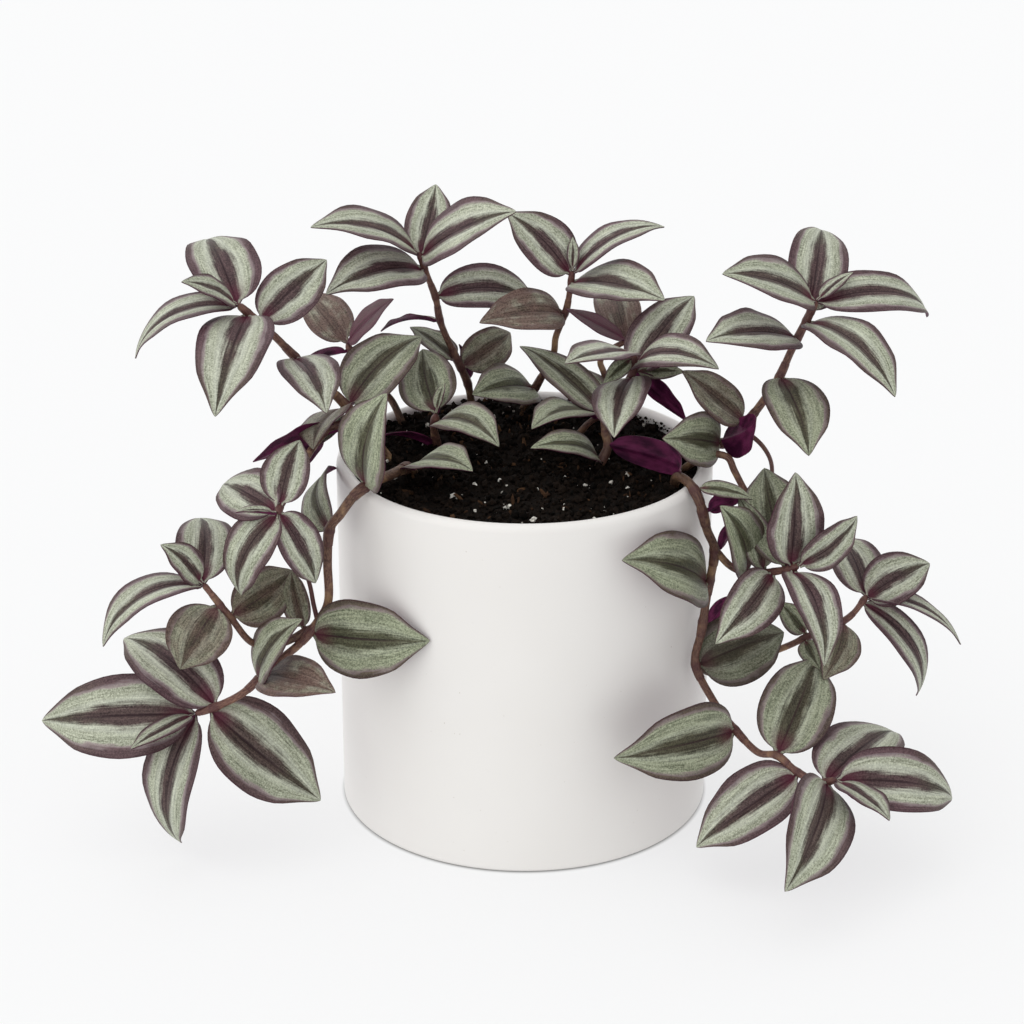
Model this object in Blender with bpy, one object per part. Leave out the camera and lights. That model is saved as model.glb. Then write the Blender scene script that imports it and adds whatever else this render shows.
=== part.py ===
"""Inch plant with silver striped leaves, growing in a plain cylindrical pot.

The pot stands on z = 0 with its axis on Z. Shoots are given as routes, and every leaf as a place on
its shoot, a direction and a size, so one function draws all stems and one draws all blades.
Lengths are in millimetres and angles in degrees here; the meshes are written in metres.
"""
import math

import bpy
import numpy as np

# ---- pot and potting mix ------------------------------------------------------------------------
POT_R = 70.0            # outer radius
POT_H = 138.0           # height to the top of the rim
WALL = 5.5              # wall, which ends in a half-round rim
FLOOR = 6.0             # thickness of the pot's floor
FOOT_BEVEL = 1.4        # small round at the foot
CORNER = 5.0            # inner round between wall and floor
SOIL_TOP = 132.7        # level of the potting mix
GAP = 0.3               # clearance left between separate solids
TURN = 72               # faces around the pot

# ---- stems and blades ---------------------------------------------------------------------------
ROOT = SOIL_TOP + GAP   # where each stem starts, on the mix
STEM_SIDES = 7
STEM_STEP = 6.0         # length of one stretch of a stem
BLADE = 0.8             # thickness of a leaf
SHEATH = 0.8            # how far a blade starts from the skin of its stem
STALK = 0.8             # half width of a blade where it starts
TIP = 0.35              # half width of its tip
FOLD = 15.0             # how far the halves rise beside the midrib
WIDEST = (0.45, 0.78)   # the blade's half width goes as t^a (1-t)^b, t from base to tip
STATIONS = (0.0, 0.05, 0.16, 0.32, 0.50, 0.68, 0.85, 1.0)

# ---- shoots: radius at the root, radius at the tip, route -----------------------------------------
SHOOTS = {
    "rear_left": (1.5, 1.1, [(-20, 54, ROOT), (-22, 51, 147), (-26, 50, 157), (-32, 49, 172),
                             (-34, 48, 183), (-37, 47, 192), (-40, 45, 202)]),
    "rear_right": (1.5, 1.1, [(-2, 54, ROOT), (6, 51, 149), (11, 49, 160), (12, 47, 168),
                              (16, 45, 180), (18, 44, 195)]),
    "high_left": (1.8, 1.3, [(-53, 12, ROOT), (-61, 10, 143), (-65, 8, 152), (-72, 6, 161),
                             (-85, 2, 176), (-92, -1, 185), (-104, -5, 198)]),
    "back_left": (1.5, 1.1, [(-46, 38, ROOT), (-52, 41, 145), (-63, 45, 152), (-68, 45, 166)]),
    "inner_left": (1.6, 1.3, [(-33, 18, ROOT), (-34, 12, 144), (-33, 10, 150)]),
    "left_trail": (2.0, 1.3, [(-41, -8, ROOT), (-43, -14, 138), (-48, -28, 141), (-55, -39, 142),
                              (-61, -44, 139), (-66, -44, 132), (-70, -44, 126), (-71, -45, 114),
                              (-71, -46, 99), (-75, -47, 91), (-82, -50, 83), (-92, -54, 76),
                              (-101, -60, 69), (-110, -63, 65), (-119, -64, 62)]),
    "left_drape": (1.5, 1.2, [(-49, 3, ROOT), (-56, 2, 143), (-64, 0, 149), (-71, -3, 150),
                              (-75, -8, 148), (-80, -26, 145), (-84, -43, 141), (-87, -62, 140)]),
    "left_branch": (1.4, 1.1, [(-77, -46, 88), (-88, -51, 84), (-98, -55, 86), (-105, -58, 97),
                               (-110, -61, 106), (-114, -63, 113)]),
    "high_right": (1.8, 1.3, [(52, 2, ROOT), (63, -2, 142), (75, -8, 146), (81, -8, 153),
                              (87, -7, 161), (93, -5, 170), (97, -3, 179), (101, -1, 187),
                              (106, 0, 198)]),
    "inner_right": (1.6, 1.2, [(27, -3, ROOT), (31, 0, 141), (30, 2, 146), (30, 4, 152),
                               (35, 6, 160), (40, 6, 168), (40, 6, 176)]),
    "inner_mid": (1.4, 1.1, [(19, 28, ROOT), (24, 26, 140), (30, 25, 145)]),
    "back_mid": (1.4, 1.1, [(34, 44, ROOT), (31, 44, 152), (29, 44, 159), (33, 43, 164),
                            (39, 42, 168)]),
    "right_trail": (1.8, 1.2, [(55, -21, ROOT), (55, -26, 139), (57, -31, 141), (60, -36, 140),
                               (63, -39, 135), (66, -39, 124), (69, -38, 115), (67, -38, 100),
                               (65, -38, 83), (63, -40, 71), (69, -44, 59), (76, -50, 51),
                               (85, -60, 45), (92, -65, 46), (99, -70, 42), (106, -76, 41),
                               (112, -80, 44)]),
    "right_branch": (1.4, 1.1, [(69, -38, 116), (75, -40, 110), (82, -44, 109), (90, -49, 112),
                                (98, -54, 116)]),
    "far_branch": (1.4, 1.1, [(63, -40, 70), (71, -36, 65), (80, -32, 67), (97, -24, 70),
                              (105, -20, 72), (121, -14, 77), (129, -8, 84)]),
    "right_drape": (1.5, 1.2, [(56, -8, ROOT), (66, -12, 142), (74, -15, 143), (77, -17, 138),
                               (81, -19, 131), (85, -20, 127)]),
}
BRANCH_OF = {"left_branch": "left_trail", "right_branch": "right_trail", "far_branch": "right_trail"}

# ---- leaves of each shoot: place along it, heading, rise, roll, length, width, arch ----------------
# The place runs from 0 at the root to 1 at the tip. Heading 0 is +X and 90 is +Y, rise is the slope
# from base to tip, roll turns the blade about that line, and arch is how far it bends over its length.
LEAVES = {
    "rear_left": [(1.00, 205, 20, -20, 44, 24, 60), (0.97, 80, 35, 10, 34, 18, 25),
                  (0.98, 330, 30, 40, 46, 27, 30), (0.91, 220, 0, -25, 44, 26, 40)],
    "rear_right": [(0.98, 160, 40, -45, 32, 21, 40), (0.99, 10, 25, 10, 37, 19, 75),
                   (0.94, 315, 5, 20, 46, 26, 30)],
    "high_left": [(1.00, 110, 15, -5, 44, 27, 65), (1.00, 190, -25, -5, 40, 22, 90),
                  (0.94, 260, -25, 0, 50, 28, 60), (0.87, 42, 28, 42, 34, 21, 40),
                  (0.64, 290, -10, 5, 40, 22, 40)],
    "back_left": [(1.00, 120, 15, -25, 34, 18, 35)],
    "inner_left": [(1.00, 100, 20, -20, 37, 23, 10)],
    "left_trail": [(0.26, 310, 70, 90, 40, 28, 45), (0.66, 341, 5, 80, 44, 30, 5),
                   (0.96, 0, -43, 45, 52, 34, 10), (0.95, 140, 15, -20, 48, 28, 60),
                   (1.00, 165, -10, -55, 60, 32, 40), (1.00, 150, -80, -80, 55, 25, 80)],
    "left_drape": [(0.96, 75, 36, 10, 27, 18, 25), (0.99, 175, -66, -58, 34, 20, 85)],
    "left_branch": [(1.00, 97, 12, 0, 40, 22, 55), (1.00, 210, -20, 0, 40, 22, 85),
                    (0.80, 180, -60, -90, 28, 24, 20), (0.67, 55, 9, 61, 34, 21, 10)],
    "high_right": [(1.00, 205, 22, -30, 40, 25, 40), (0.95, 80, 24, 15, 45, 23, 80),
                   (1.00, 30, -15, 35, 52, 20, 85), (0.91, 310, -20, 0, 46, 26, 65),
                   (0.83, 215, 10, -20, 41, 26, 30)],
    "inner_right": [(0.85, 50, 30, 20, 40, 22, 40), (0.80, 260, -10, 10, 42, 22, 30)],
    "inner_mid": [(1.00, 150, 30, -5, 40, 22, 20)],
    "right_trail": [(0.35, 228, 27, -60, 52, 28, 40), (0.55, 20, 13, 50, 34, 28, 50),
                    (0.72, 215, 5, -80, 53, 29, 30), (0.84, 65, 30, 20, 43, 28, 50),
                    (0.90, 190, -35, -30, 44, 28, 40), (0.97, 54, 0, 10, 50, 29, 45),
                    (1.00, 25, -20, 50, 52, 25, 75), (0.98, 250, -15, -45, 55, 29, 40)],
    "right_branch": [(0.93, 80, 80, 42, 33, 26, 5)],
    "far_branch": [(1.00, 103, 12, -5, 38, 21, 40), (0.97, 20, -60, 55, 49, 16, 85)],
}

# ---- colours: base colour and roughness -------------------------------------------------------------
GLAZE = ((0.83, 0.82, 0.80), 0.28)
MIX = ((0.035, 0.025, 0.018), 0.95)
STEM = ((0.20, 0.085, 0.09), 0.50)
LEAF = ((0.34, 0.42, 0.33), 0.42)


def clear_scene():
    for old in list(bpy.data.objects):
        bpy.data.objects.remove(old)


def make_material(name, look):
    colour, roughness = look
    material = bpy.data.materials.new(name)
    material.use_nodes = True
    shader = material.node_tree.nodes["Principled BSDF"]
    shader.inputs["Base Color"].default_value = (*colour, 1.0)
    shader.inputs["Roughness"].default_value = roughness
    material.diffuse_color = (*colour, 1.0)
    return material


def add_object(name, points, faces, material):
    """Makes a smooth mesh object from points in millimetres."""
    mesh = bpy.data.meshes.new(name)
    mesh.from_pydata([tuple(p) for p in np.asarray(points) * 0.001], [], faces)
    mesh.materials.append(material)
    mesh.shade_smooth()
    mesh.set_sharp_from_angle(angle=math.radians(40))
    thing = bpy.data.objects.new(name, mesh)
    bpy.context.scene.collection.objects.link(thing)
    return thing


def unit(vector):
    return vector / np.linalg.norm(vector)


def ring_faces(rings, sides):
    """Quads between rings of points that follow one another, both ends closed by a flat face."""
    faces = [tuple(reversed(range(sides)))]
    for row in range(rings - 1):
        for k in range(sides):
            a, b = row * sides + k, row * sides + (k + 1) % sides
            faces.append((a, b, b + sides, a + sides))
    last = (rings - 1) * sides
    faces.append(tuple(range(last, last + sides)))
    return faces


def arc(centre, radius, start, end, steps):
    """Points of a round corner in the (radius, height) plane."""
    angles = np.radians(np.linspace(start, end, steps + 1))
    return [(centre[0] + radius * math.cos(a), centre[1] + radius * math.sin(a)) for a in angles]


def turned(name, profile, material):
    """Turns a profile of (radius, height), given from the bottom outwards, upwards and back in."""
    angles = np.radians(np.arange(TURN) * 360.0 / TURN)
    points = [(r * math.cos(a), r * math.sin(a), z) for r, z in profile for a in angles]
    return add_object(name, points, ring_faces(len(profile), TURN), material)


def pot(material):
    """A straight wall with a half-round rim, a small round at the foot and a flat base."""
    lip = WALL / 2
    inner = POT_R - WALL
    profile = arc((POT_R - FOOT_BEVEL, FOOT_BEVEL), FOOT_BEVEL, -90, 0, 3)
    profile += arc((POT_R - lip, POT_H - lip), lip, 0, 180, 8)
    profile += arc((inner - CORNER, FLOOR + CORNER), CORNER, 0, -90, 3)
    return turned("pot", profile, material)


def potting_mix(material):
    """The plug of mix that fills the pot to just under its rim."""
    radius = POT_R - WALL - GAP
    bottom = FLOOR + GAP
    profile = [(radius - CORNER, bottom), (radius, bottom + CORNER), (radius, SOIL_TOP)]
    return turned("potting_mix", profile, material)


def curve_through(points, steps=12):
    """A Catmull-Rom curve through the route's points."""
    p = np.array(points, float)
    p = np.vstack([2 * p[0] - p[1], p, 2 * p[-1] - p[-2]])
    t = np.linspace(0, 1, steps, endpoint=False)[:, None]
    stretches = []
    for a, b, c, d in zip(p[:-3], p[1:-2], p[2:-1], p[3:]):
        stretches.append(0.5 * (2 * b + (c - a) * t + (2 * a - 5 * b + 4 * c - d) * t ** 2
                                + (3 * b - a - 3 * c + d) * t ** 3))
    return np.vstack(stretches + [p[-2:-1]])


def sample(curve, places):
    """Points and directions of a curve at places from 0 to 1 along its length."""
    lengths = np.linalg.norm(np.diff(curve, axis=0), axis=1)
    along = np.concatenate([[0], np.cumsum(lengths)])
    where = np.asarray(places) * along[-1]
    points = np.stack([np.interp(where, along, curve[:, k]) for k in range(3)], axis=1)
    ahead = np.stack([np.interp(where + 1.0, along, curve[:, k]) for k in range(3)], axis=1)
    behind = np.stack([np.interp(where - 1.0, along, curve[:, k]) for k in range(3)], axis=1)
    directions = ahead - behind
    return points, directions / np.linalg.norm(directions, axis=1)[:, None]


def stem(name, shoot, material):
    """A tapering tube along the shoot's route. Its root ends flat on the mix."""
    start, end, route = SHOOTS[shoot]
    curve = curve_through(route)
    length = np.linalg.norm(np.diff(curve, axis=0), axis=1).sum()
    places = np.linspace(0, 1, max(3, round(length / STEM_STEP)) + 1)
    points, directions = sample(curve, places)
    if shoot not in BRANCH_OF:
        directions[0] = (0, 0, 1)
    side = unit(np.cross(directions[0], (0.3, 1.0, 0.2)))
    turns = np.radians(np.arange(STEM_SIDES) * 360.0 / STEM_SIDES)[:, None]
    rings = []
    for place, point, ahead in zip(places, points, directions):
        side = unit(side - ahead * np.dot(side, ahead))
        across = np.cross(ahead, side)
        radius = start + (end - start) * place
        rings.append(point + radius * (side * np.cos(turns) + across * np.sin(turns)))
    return add_object(name, np.vstack(rings), ring_faces(len(rings), STEM_SIDES), material)


def join(stem_object, branch_object):
    """Makes a branch one solid with the stem that it grows from."""
    union = stem_object.modifiers.new(branch_object.name, "BOOLEAN")
    union.operation = "UNION"
    union.object = branch_object
    branch_object.hide_render = True
    branch_object.display_type = "WIRE"


def blade_frame(heading, rise, roll):
    """The directions along a blade, across it and out of its upper face."""
    h, r, turn = np.radians([heading, rise, roll])
    along = np.array([math.cos(h) * math.cos(r), math.sin(h) * math.cos(r), math.sin(r)])
    level = np.array([-math.sin(h), math.cos(h), 0.0])
    across = level * math.cos(turn) + np.cross(along, level) * math.sin(turn)
    return along, across, np.cross(along, across)


def blade_start(shoot, place, along):
    """A point just off the skin of the stem, on the side that the blade leaves it from."""
    start, end, route = SHOOTS[shoot]
    points, directions = sample(curve_through(route), [place])
    outward = along
    if place < 0.97:
        outward = unit(along - 0.8 * directions[0] * np.dot(along, directions[0]))
    return points[0] + outward * (start + (end - start) * place + SHEATH)


def half_widths(t, width):
    """Rounded at the base, widest two fifths of the way along, drawn out to the tip."""
    a, b = WIDEST
    peak = a / (a + b)
    shape = t ** a * (1 - t) ** b / (peak ** a * (1 - peak) ** b)
    narrow = STALK + (TIP - STALK) * t
    return np.maximum(width / 2 * shape, narrow)


def leaf(name, shoot, row, material):
    """A closed blade: it arches from base to tip, and its halves rise beside the midrib."""
    place, heading, rise, roll, length, width, arch = row
    along, across, up = blade_frame(heading, rise, roll)
    start = blade_start(shoot, place, along)
    t = np.array(STATIONS)
    bend = math.radians(arch)
    radius = length / (2 * math.sin(bend / 2))
    angle = bend * (t - 0.5)
    x = radius * (np.sin(angle) + math.sin(bend / 2))
    z = radius * (np.cos(angle) - math.cos(bend / 2))
    middle = start + x[:, None] * along + z[:, None] * up
    normal = up * np.cos(angle)[:, None] + along * np.sin(angle)[:, None]
    half = half_widths(t, width)
    fold = np.radians(FOLD) * (1 - 0.5 * t)
    columns = np.array([-1.0, -0.5, 0.0, 0.5, 1.0])
    sideways = columns * (half * np.cos(fold))[:, None]
    lift = (np.abs(columns) - 0.45 * columns ** 2) * (half * np.sin(fold))[:, None]
    sheet = middle[:, None] + sideways[..., None] * across + lift[..., None] * normal[:, None]
    skin = BLADE / 2 * normal[:, None]
    upper, lower = sheet + skin, sheet - skin
    rings = np.concatenate([lower, upper[:, ::-1]], axis=1)
    return add_object(name, rings.reshape(-1, 3), ring_faces(len(t), rings.shape[1]), material)


def main():
    clear_scene()
    glaze = make_material("glaze", GLAZE)
    mix = make_material("mix", MIX)
    bark = make_material("stem", STEM)
    green = make_material("leaf", LEAF)
    pot(glaze)
    potting_mix(mix)
    stems = {shoot: stem(shoot + "_stem", shoot, bark) for shoot in SHOOTS}
    for branch, parent in BRANCH_OF.items():
        join(stems[parent], stems[branch])
    for shoot, rows in LEAVES.items():
        for number, row in enumerate(rows, 1):
            leaf(f"{shoot}_leaf_{number}", shoot, row, green)


main()
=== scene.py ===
"""Looks of a potted inch plant: a glazed pot, potting mix, fleshy stems and silver striped leaves.

The plant's routes and leaves are the same ones that its solids are built from, in millimetres and
degrees, and add_piece turns the points worked out from them into metres. A stem is a tube along its
route that swells at every leaf. A blade is a grid whose rows run from base to tip, arched, folded at
the midrib and waved at the margin. Nothing is simulated.
"""
import math

import bmesh
import bpy
import numpy as np
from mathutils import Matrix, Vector, noise


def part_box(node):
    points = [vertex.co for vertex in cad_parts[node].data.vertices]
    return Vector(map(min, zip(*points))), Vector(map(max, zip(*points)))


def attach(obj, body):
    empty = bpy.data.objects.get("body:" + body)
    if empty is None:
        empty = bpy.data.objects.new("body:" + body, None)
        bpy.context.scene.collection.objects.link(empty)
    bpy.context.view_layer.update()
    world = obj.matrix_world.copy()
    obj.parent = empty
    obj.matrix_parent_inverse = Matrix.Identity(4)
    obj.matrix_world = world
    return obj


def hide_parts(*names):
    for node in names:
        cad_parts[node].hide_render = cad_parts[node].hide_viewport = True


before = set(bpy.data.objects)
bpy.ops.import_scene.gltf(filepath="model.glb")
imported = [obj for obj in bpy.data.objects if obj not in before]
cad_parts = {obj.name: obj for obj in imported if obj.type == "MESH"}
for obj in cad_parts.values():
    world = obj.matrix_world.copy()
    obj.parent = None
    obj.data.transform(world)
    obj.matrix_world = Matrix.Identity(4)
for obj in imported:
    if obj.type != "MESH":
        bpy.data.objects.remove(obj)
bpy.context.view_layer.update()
MM = 0.001

# ---- pot and mix, read from the frame --------------------------------------------------------------
pot_low, pot_high = (np.array(corner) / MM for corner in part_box("pot"))
mix_low, mix_high = (np.array(corner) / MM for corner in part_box("potting_mix"))
TOUCH = 0.3                     # gap between solids that touch
POT_R = (pot_high[0] - pot_low[0]) / 2
POT_H = pot_high[2]
MIX_R = (mix_high[0] - mix_low[0]) / 2
WALL = POT_R - MIX_R - TOUCH
FLOOR = mix_low[2] - TOUCH      # the pot's inner floor
ROOT = mix_high[2] + TOUCH      # where the shoots start
CORNER = 5.0                    # radius between the inner wall and the floor
POT_SIDES = 192
MIX_SIDES = 180
MIX_RINGS = 56
MIX_TOP = mix_high[2] + 1.3     # mean level of the loose mix at the front
MIX_RISE = 1.8                  # how much higher it lies at the back
MIX_DIP = 2.6                   # how much lower it lies at the right rear
MIX_LUMPS = 1.1                 # height of its lumps
GRAINS_R = MIX_R - 0.1          # how far out loose grains reach
STREWN = 0.985                  # share of the mix's radius within which their middles lie
FINENESS = 2.5                  # the larger it is, the more of them are small

# ---- shoots: radius at the root, radius at the tip, route ------------------------------------------
SHOOTS = {
    "rear_left": (1.5, 1.1, [(-20, 54, ROOT), (-22, 51, 147), (-26, 50, 157), (-32, 49, 172),
                             (-34, 48, 183), (-37, 47, 192), (-40, 45, 202)]),
    "rear_right": (1.5, 1.1, [(-2, 54, ROOT), (6, 51, 149), (11, 49, 160), (12, 47, 168),
                              (16, 45, 180), (18, 44, 195)]),
    "high_left": (1.8, 1.3, [(-53, 12, ROOT), (-61, 10, 143), (-65, 8, 152), (-72, 6, 161),
                             (-85, 2, 176), (-92, -1, 185), (-104, -5, 198)]),
    "back_left": (1.5, 1.1, [(-46, 38, ROOT), (-52, 41, 145), (-63, 45, 152), (-68, 45, 166)]),
    "inner_left": (1.6, 1.3, [(-33, 18, ROOT), (-34, 12, 144), (-33, 10, 150)]),
    "left_trail": (2.0, 1.3, [(-41, -8, ROOT), (-43, -14, 138), (-48, -28, 141), (-55, -39, 142),
                              (-61, -44, 139), (-66, -44, 132), (-70, -44, 126), (-71, -45, 114),
                              (-71, -46, 99), (-75, -47, 91), (-82, -50, 83), (-92, -54, 76),
                              (-101, -60, 69), (-110, -63, 65), (-119, -64, 62)]),
    "left_drape": (1.5, 1.2, [(-49, 3, ROOT), (-56, 2, 143), (-64, 0, 149), (-71, -3, 150),
                              (-75, -8, 148), (-80, -26, 145), (-84, -43, 141), (-87, -62, 140)]),
    "left_branch": (1.4, 1.1, [(-77, -46, 88), (-88, -51, 84), (-98, -55, 86), (-105, -58, 97),
                               (-110, -61, 106), (-114, -63, 113)]),
    "high_right": (1.8, 1.3, [(52, 2, ROOT), (63, -2, 142), (75, -8, 146), (81, -8, 153),
                              (87, -7, 161), (93, -5, 170), (97, -3, 179), (101, -1, 187),
                              (106, 0, 198)]),
    "inner_right": (1.6, 1.2, [(27, -3, ROOT), (31, 0, 141), (30, 2, 146), (30, 4, 152),
                               (35, 6, 160), (40, 6, 168), (40, 6, 176)]),
    "inner_mid": (1.4, 1.1, [(19, 28, ROOT), (24, 26, 140), (30, 25, 145)]),
    "back_mid": (1.4, 1.1, [(34, 44, ROOT), (31, 44, 152), (29, 44, 159), (33, 43, 164),
                            (39, 42, 168)]),
    "right_trail": (1.8, 1.2, [(55, -21, ROOT), (55, -26, 139), (57, -31, 141), (60, -36, 140),
                               (63, -39, 135), (66, -39, 124), (69, -38, 115), (67, -38, 100),
                               (65, -38, 83), (63, -40, 71), (69, -44, 59), (76, -50, 51),
                               (85, -60, 45), (92, -65, 46), (99, -70, 42), (106, -76, 41),
                               (112, -80, 44)]),
    "right_branch": (1.4, 1.1, [(69, -38, 116), (75, -40, 110), (82, -44, 109), (90, -49, 112),
                                (98, -54, 116)]),
    "far_branch": (1.4, 1.1, [(63, -40, 70), (71, -36, 65), (80, -32, 67), (97, -24, 70),
                              (105, -20, 72), (121, -14, 77), (129, -8, 84)]),
    "right_drape": (1.5, 1.2, [(56, -8, ROOT), (66, -12, 142), (74, -15, 143), (77, -17, 138),
                               (81, -19, 131), (85, -20, 127)]),
}
BRANCH_OF = {"left_branch": "left_trail", "right_branch": "right_trail", "far_branch": "right_trail"}
RUNNERS = {     # bare side shoots: radius, how plum they are, route
    "left_runner": (0.9, 1.0, [(-75, -47, 91), (-76.5, -45, 97), (-77.5, -44, 103), (-79, -43, 109)]),
    "right_runner": (0.9, 0.6, [(80, -8, 150), (84, -8, 148), (88, -8, 144), (91, -6, 138),
                                (92, -3, 131), (91, -1, 124)]),
}

# ---- leaves ----------------------------------------------------------------------------------------
# A row is place along the shoot, heading, rise, roll, length, width, arch and look. Heading 0 is +X
# and 90 is +Y, rise is the slope from base to tip, roll turns the blade about that line, and arch is
# how far it bends over its length. A look is how old, brown and wine red the leaf is, and how much
# painted shade lies over it, 0 to 1.
FRESH = (0.15, 0.0, 0.0, 0.0)
OLDER = (0.85, 0.08, 0.0, 0.0)
FADED = (0.55, 0.95, 0.0, 0.0)
TINGED = (0.75, 0.6, 0.0, 0.0)
DARK = (0.9, 0.4, 0.85, 0.0)
# Painted shade: an older leaf darkened as if it lay in the shade of others.
IN_PAINTED_SHADE = (0.9, 0.2, 0.0, 0.5)
LEAVES = {      # these have solids of their own, in the same order
    "rear_left": [(1.00, 205, 20, -20, 44, 24, 60, FRESH), (0.97, 80, 35, 10, 34, 18, 25, FRESH),
                  (0.98, 330, 30, 40, 46, 27, 30, FRESH), (0.91, 220, 0, -25, 44, 26, 40, FRESH)],
    "rear_right": [(0.98, 160, 40, -45, 32, 21, 40, FRESH), (0.99, 10, 25, 10, 37, 19, 75, FRESH),
                   (0.94, 315, 5, 20, 46, 26, 30, FRESH)],
    "high_left": [(1.00, 110, 15, -5, 44, 27, 65, FRESH), (1.00, 190, -25, -5, 40, 22, 90, FRESH),
                  (0.94, 260, -25, 0, 50, 28, 60, FRESH), (0.87, 42, 28, 42, 34, 21, 40, FRESH),
                  (0.64, 290, -10, 5, 40, 22, 40, FRESH)],
    "back_left": [(1.00, 120, 15, -25, 34, 18, 35, FADED)],
    "inner_left": [(1.00, 100, 20, -20, 37, 23, 10, OLDER)],
    "left_trail": [(0.26, 310, 70, 90, 40, 28, 45, OLDER), (0.66, 341, 5, 80, 44, 30, 5, OLDER),
                   (0.96, 0, -43, 45, 52, 34, 10, FRESH), (0.95, 140, 15, -20, 48, 28, 60, FRESH),
                   (1.00, 165, -10, -55, 60, 32, 40, FRESH), (1.00, 150, -80, -80, 55, 25, 80, FRESH)],
    "left_drape": [(0.96, 75, 36, 10, 27, 18, 25, FRESH), (0.99, 175, -66, -58, 34, 20, 85, FRESH)],
    "left_branch": [(1.00, 97, 12, 0, 40, 22, 55, FRESH), (1.00, 210, -20, 0, 40, 22, 85, FRESH),
                    (0.80, 180, -60, -90, 28, 24, 20, TINGED), (0.67, 55, 9, 61, 34, 21, 10, TINGED)],
    "high_right": [(1.00, 205, 22, -30, 40, 25, 40, FRESH), (0.95, 80, 24, 15, 45, 23, 80, FRESH),
                   (1.00, 30, -15, 35, 52, 20, 85, FRESH), (0.91, 310, -20, 0, 46, 26, 65, FRESH),
                   (0.83, 215, 10, -20, 41, 26, 30, FRESH)],
    "inner_right": [(0.85, 50, 30, 20, 40, 22, 40, FRESH), (0.80, 260, -10, 10, 42, 22, 30, FRESH)],
    "inner_mid": [(1.00, 150, 30, -5, 40, 22, 20, OLDER)],
    "right_trail": [(0.35, 228, 27, -60, 52, 28, 40, OLDER), (0.55, 20, 13, 50, 34, 28, 50, IN_PAINTED_SHADE),
                    (0.72, 215, 5, -80, 53, 29, 30, OLDER), (0.84, 65, 30, 20, 43, 28, 50, OLDER),
                    (0.90, 190, -35, -30, 44, 28, 40, FRESH), (0.97, 54, 0, 10, 50, 29, 45, FRESH),
                    (1.00, 25, -20, 50, 52, 25, 75, FRESH), (0.98, 250, -15, -45, 55, 29, 40, FRESH)],
    "right_branch": [(0.93, 80, 80, 42, 33, 26, 5, FRESH)],
    "far_branch": [(1.00, 103, 12, -5, 38, 21, 40, FRESH), (0.97, 20, -60, 55, 49, 16, 85, FRESH)],
}
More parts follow.
